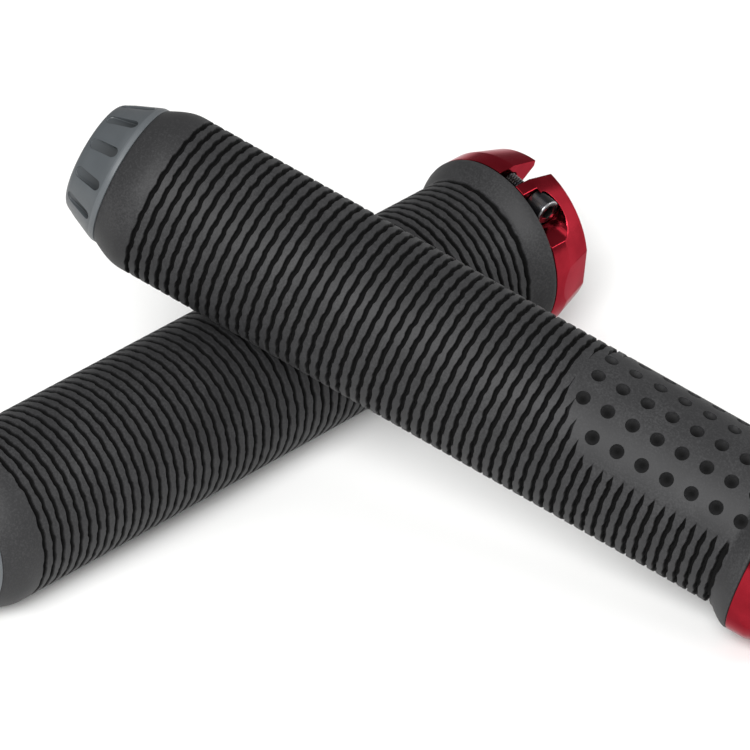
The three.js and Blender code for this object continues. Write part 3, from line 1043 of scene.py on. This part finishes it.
def screwMesh(sizes):
    tail, under, top = sizes["tail"], sizes["headFrom"], sizes["headTo"]
    length = under + sizes["overlap"] - tail
    steps = round(length / sizes["threadPitch"] * sizes["threadRows"])
    rod = [(tail - 0.2, 0.0), (tail - 0.2, sizes["threadRadius"] - 0.4)]  # a chamfered tip
    rod += [(tail + length * i / steps, sizes["threadRadius"]) for i in range(steps + 1)]
    rod += [(under + sizes["overlap"] + 0.1, 0.0)]
    inputs = {"Radius": sizes["threadRadius"] * mm, "Pitch": sizes["threadPitch"] * mm,
              "Depth": sizes["threadDepth"] * mm, "Material": blackSteel}
    thread = turned("thread", rod, sizes["threadColumns"])
    thread = shaped(thread, threadTree(inputs), inputs)
    edge, radius = sizes["headEdge"], sizes["headRadius"]
    head = turned("head", [
        (under, 0.0), (under, radius - 0.12), (under + 0.12, radius), (top - edge, radius),
        (top - edge * 0.55, radius - edge * 0.18), (top - edge * 0.2, radius - edge * 0.5),
        (top, radius - edge), (top, 0.0)], sizes["headColumns"])
    # the hexagon, with a drill point at its bottom and a chamfer at its mouth
    hexRadius = sizes["hexAcross"] / 2 / math.cos(math.radians(30))
    low = top - sizes["hexDepth"]
    hexHole = turned("hex", [(low - 0.5, 0.0), (low, hexRadius), (top - 0.15, hexRadius),
                             (top + 1.0, hexRadius + 1.15), (top + 1.0, 0.0)], 6)
    head = cutFrom("head", head, [hexHole])
    work = bmesh.new()
    work.from_mesh(thread)
    work.from_mesh(head)
    mesh = bpy.data.meshes.new("screw")
    work.to_mesh(mesh)
    work.free()
    return layAcross(coat(mesh, blackSteel), sizes)


screwShape = screwMesh(screw)
settle("clamp_screw", screwShape, clampFrame, "screw", screw["smoothAngle"])
print("clamp screws made:", len(screwShape.polygons), "faces each")

# A pale floor under soft boxes: a broad one beside the camera, and three weak ones overhead, at
# the right and low at the far right.
studio = {
    "floor": "#F4F4F3",
    "floorSize": 8.0,
    "floorScale": 30.0,
    "floorRoughness": (0.55, 0.65),
    "worldColour": "#FFFFFF",
    "worldStrength": 0.4,
    "lights": (             # name, place in metres, width, power
        ("frontBox", (-0.75, -0.5, 0.8), 0.6, 20.5),
        ("topBox", (-0.1, 0.0, 1.2), 0.7, 2.5),
        ("rightBox", (0.62, -0.62, 0.6), 0.4, 2.6),
        ("sideBox", (1.1, -0.38, 0.32), 0.8, 2.6),
    ),
}


def makeStudio(look):
    mesh = bpy.data.meshes.new("floor")
    half = look["floorSize"] / 2
    mesh.from_pydata([(-half, -half, 0), (half, -half, 0), (half, half, 0), (-half, half, 0)], [],
                     [(0, 1, 2, 3)])
    material, tree, shader = newMaterial("paleFloor", look["floor"], 0.0, 0.6)
    spot = addNode(tree, "ShaderNodeTexCoord").outputs["Object"]
    cloud = addNode(tree, "ShaderNodeTexNoise", {"Vector": spot, "Scale": look["floorScale"]})
    rough = addNode(tree, "ShaderNodeMapRange", [cloud, 0.3, 0.7, *look["floorRoughness"]])
    tree.links.new(rough.outputs[0], shader.inputs["Roughness"])
    mesh.materials.append(material)
    floor = bpy.data.objects.new("floor", mesh)
    scene.collection.objects.link(floor)
    world = bpy.data.worlds.new("studio")
    world.use_nodes = True
    background = world.node_tree.nodes["Background"]
    background.inputs["Color"].default_value = colour(look["worldColour"])
    background.inputs["Strength"].default_value = look["worldStrength"]
    scene.world = world
    for name, place, size, power in look["lights"]:
        lamp = bpy.data.lights.new(name, "AREA")
        lamp.shape = "SQUARE"
        lamp.size = size
        lamp.energy = power
        holder = bpy.data.objects.new(name, lamp)
        holder.location = place
        holder.rotation_euler = (-Vector(place)).to_track_quat("-Z", "Y").to_euler()
        scene.collection.objects.link(holder)
    scene.view_settings.view_transform = "Standard"


makeStudio(studio)
print("studio made")
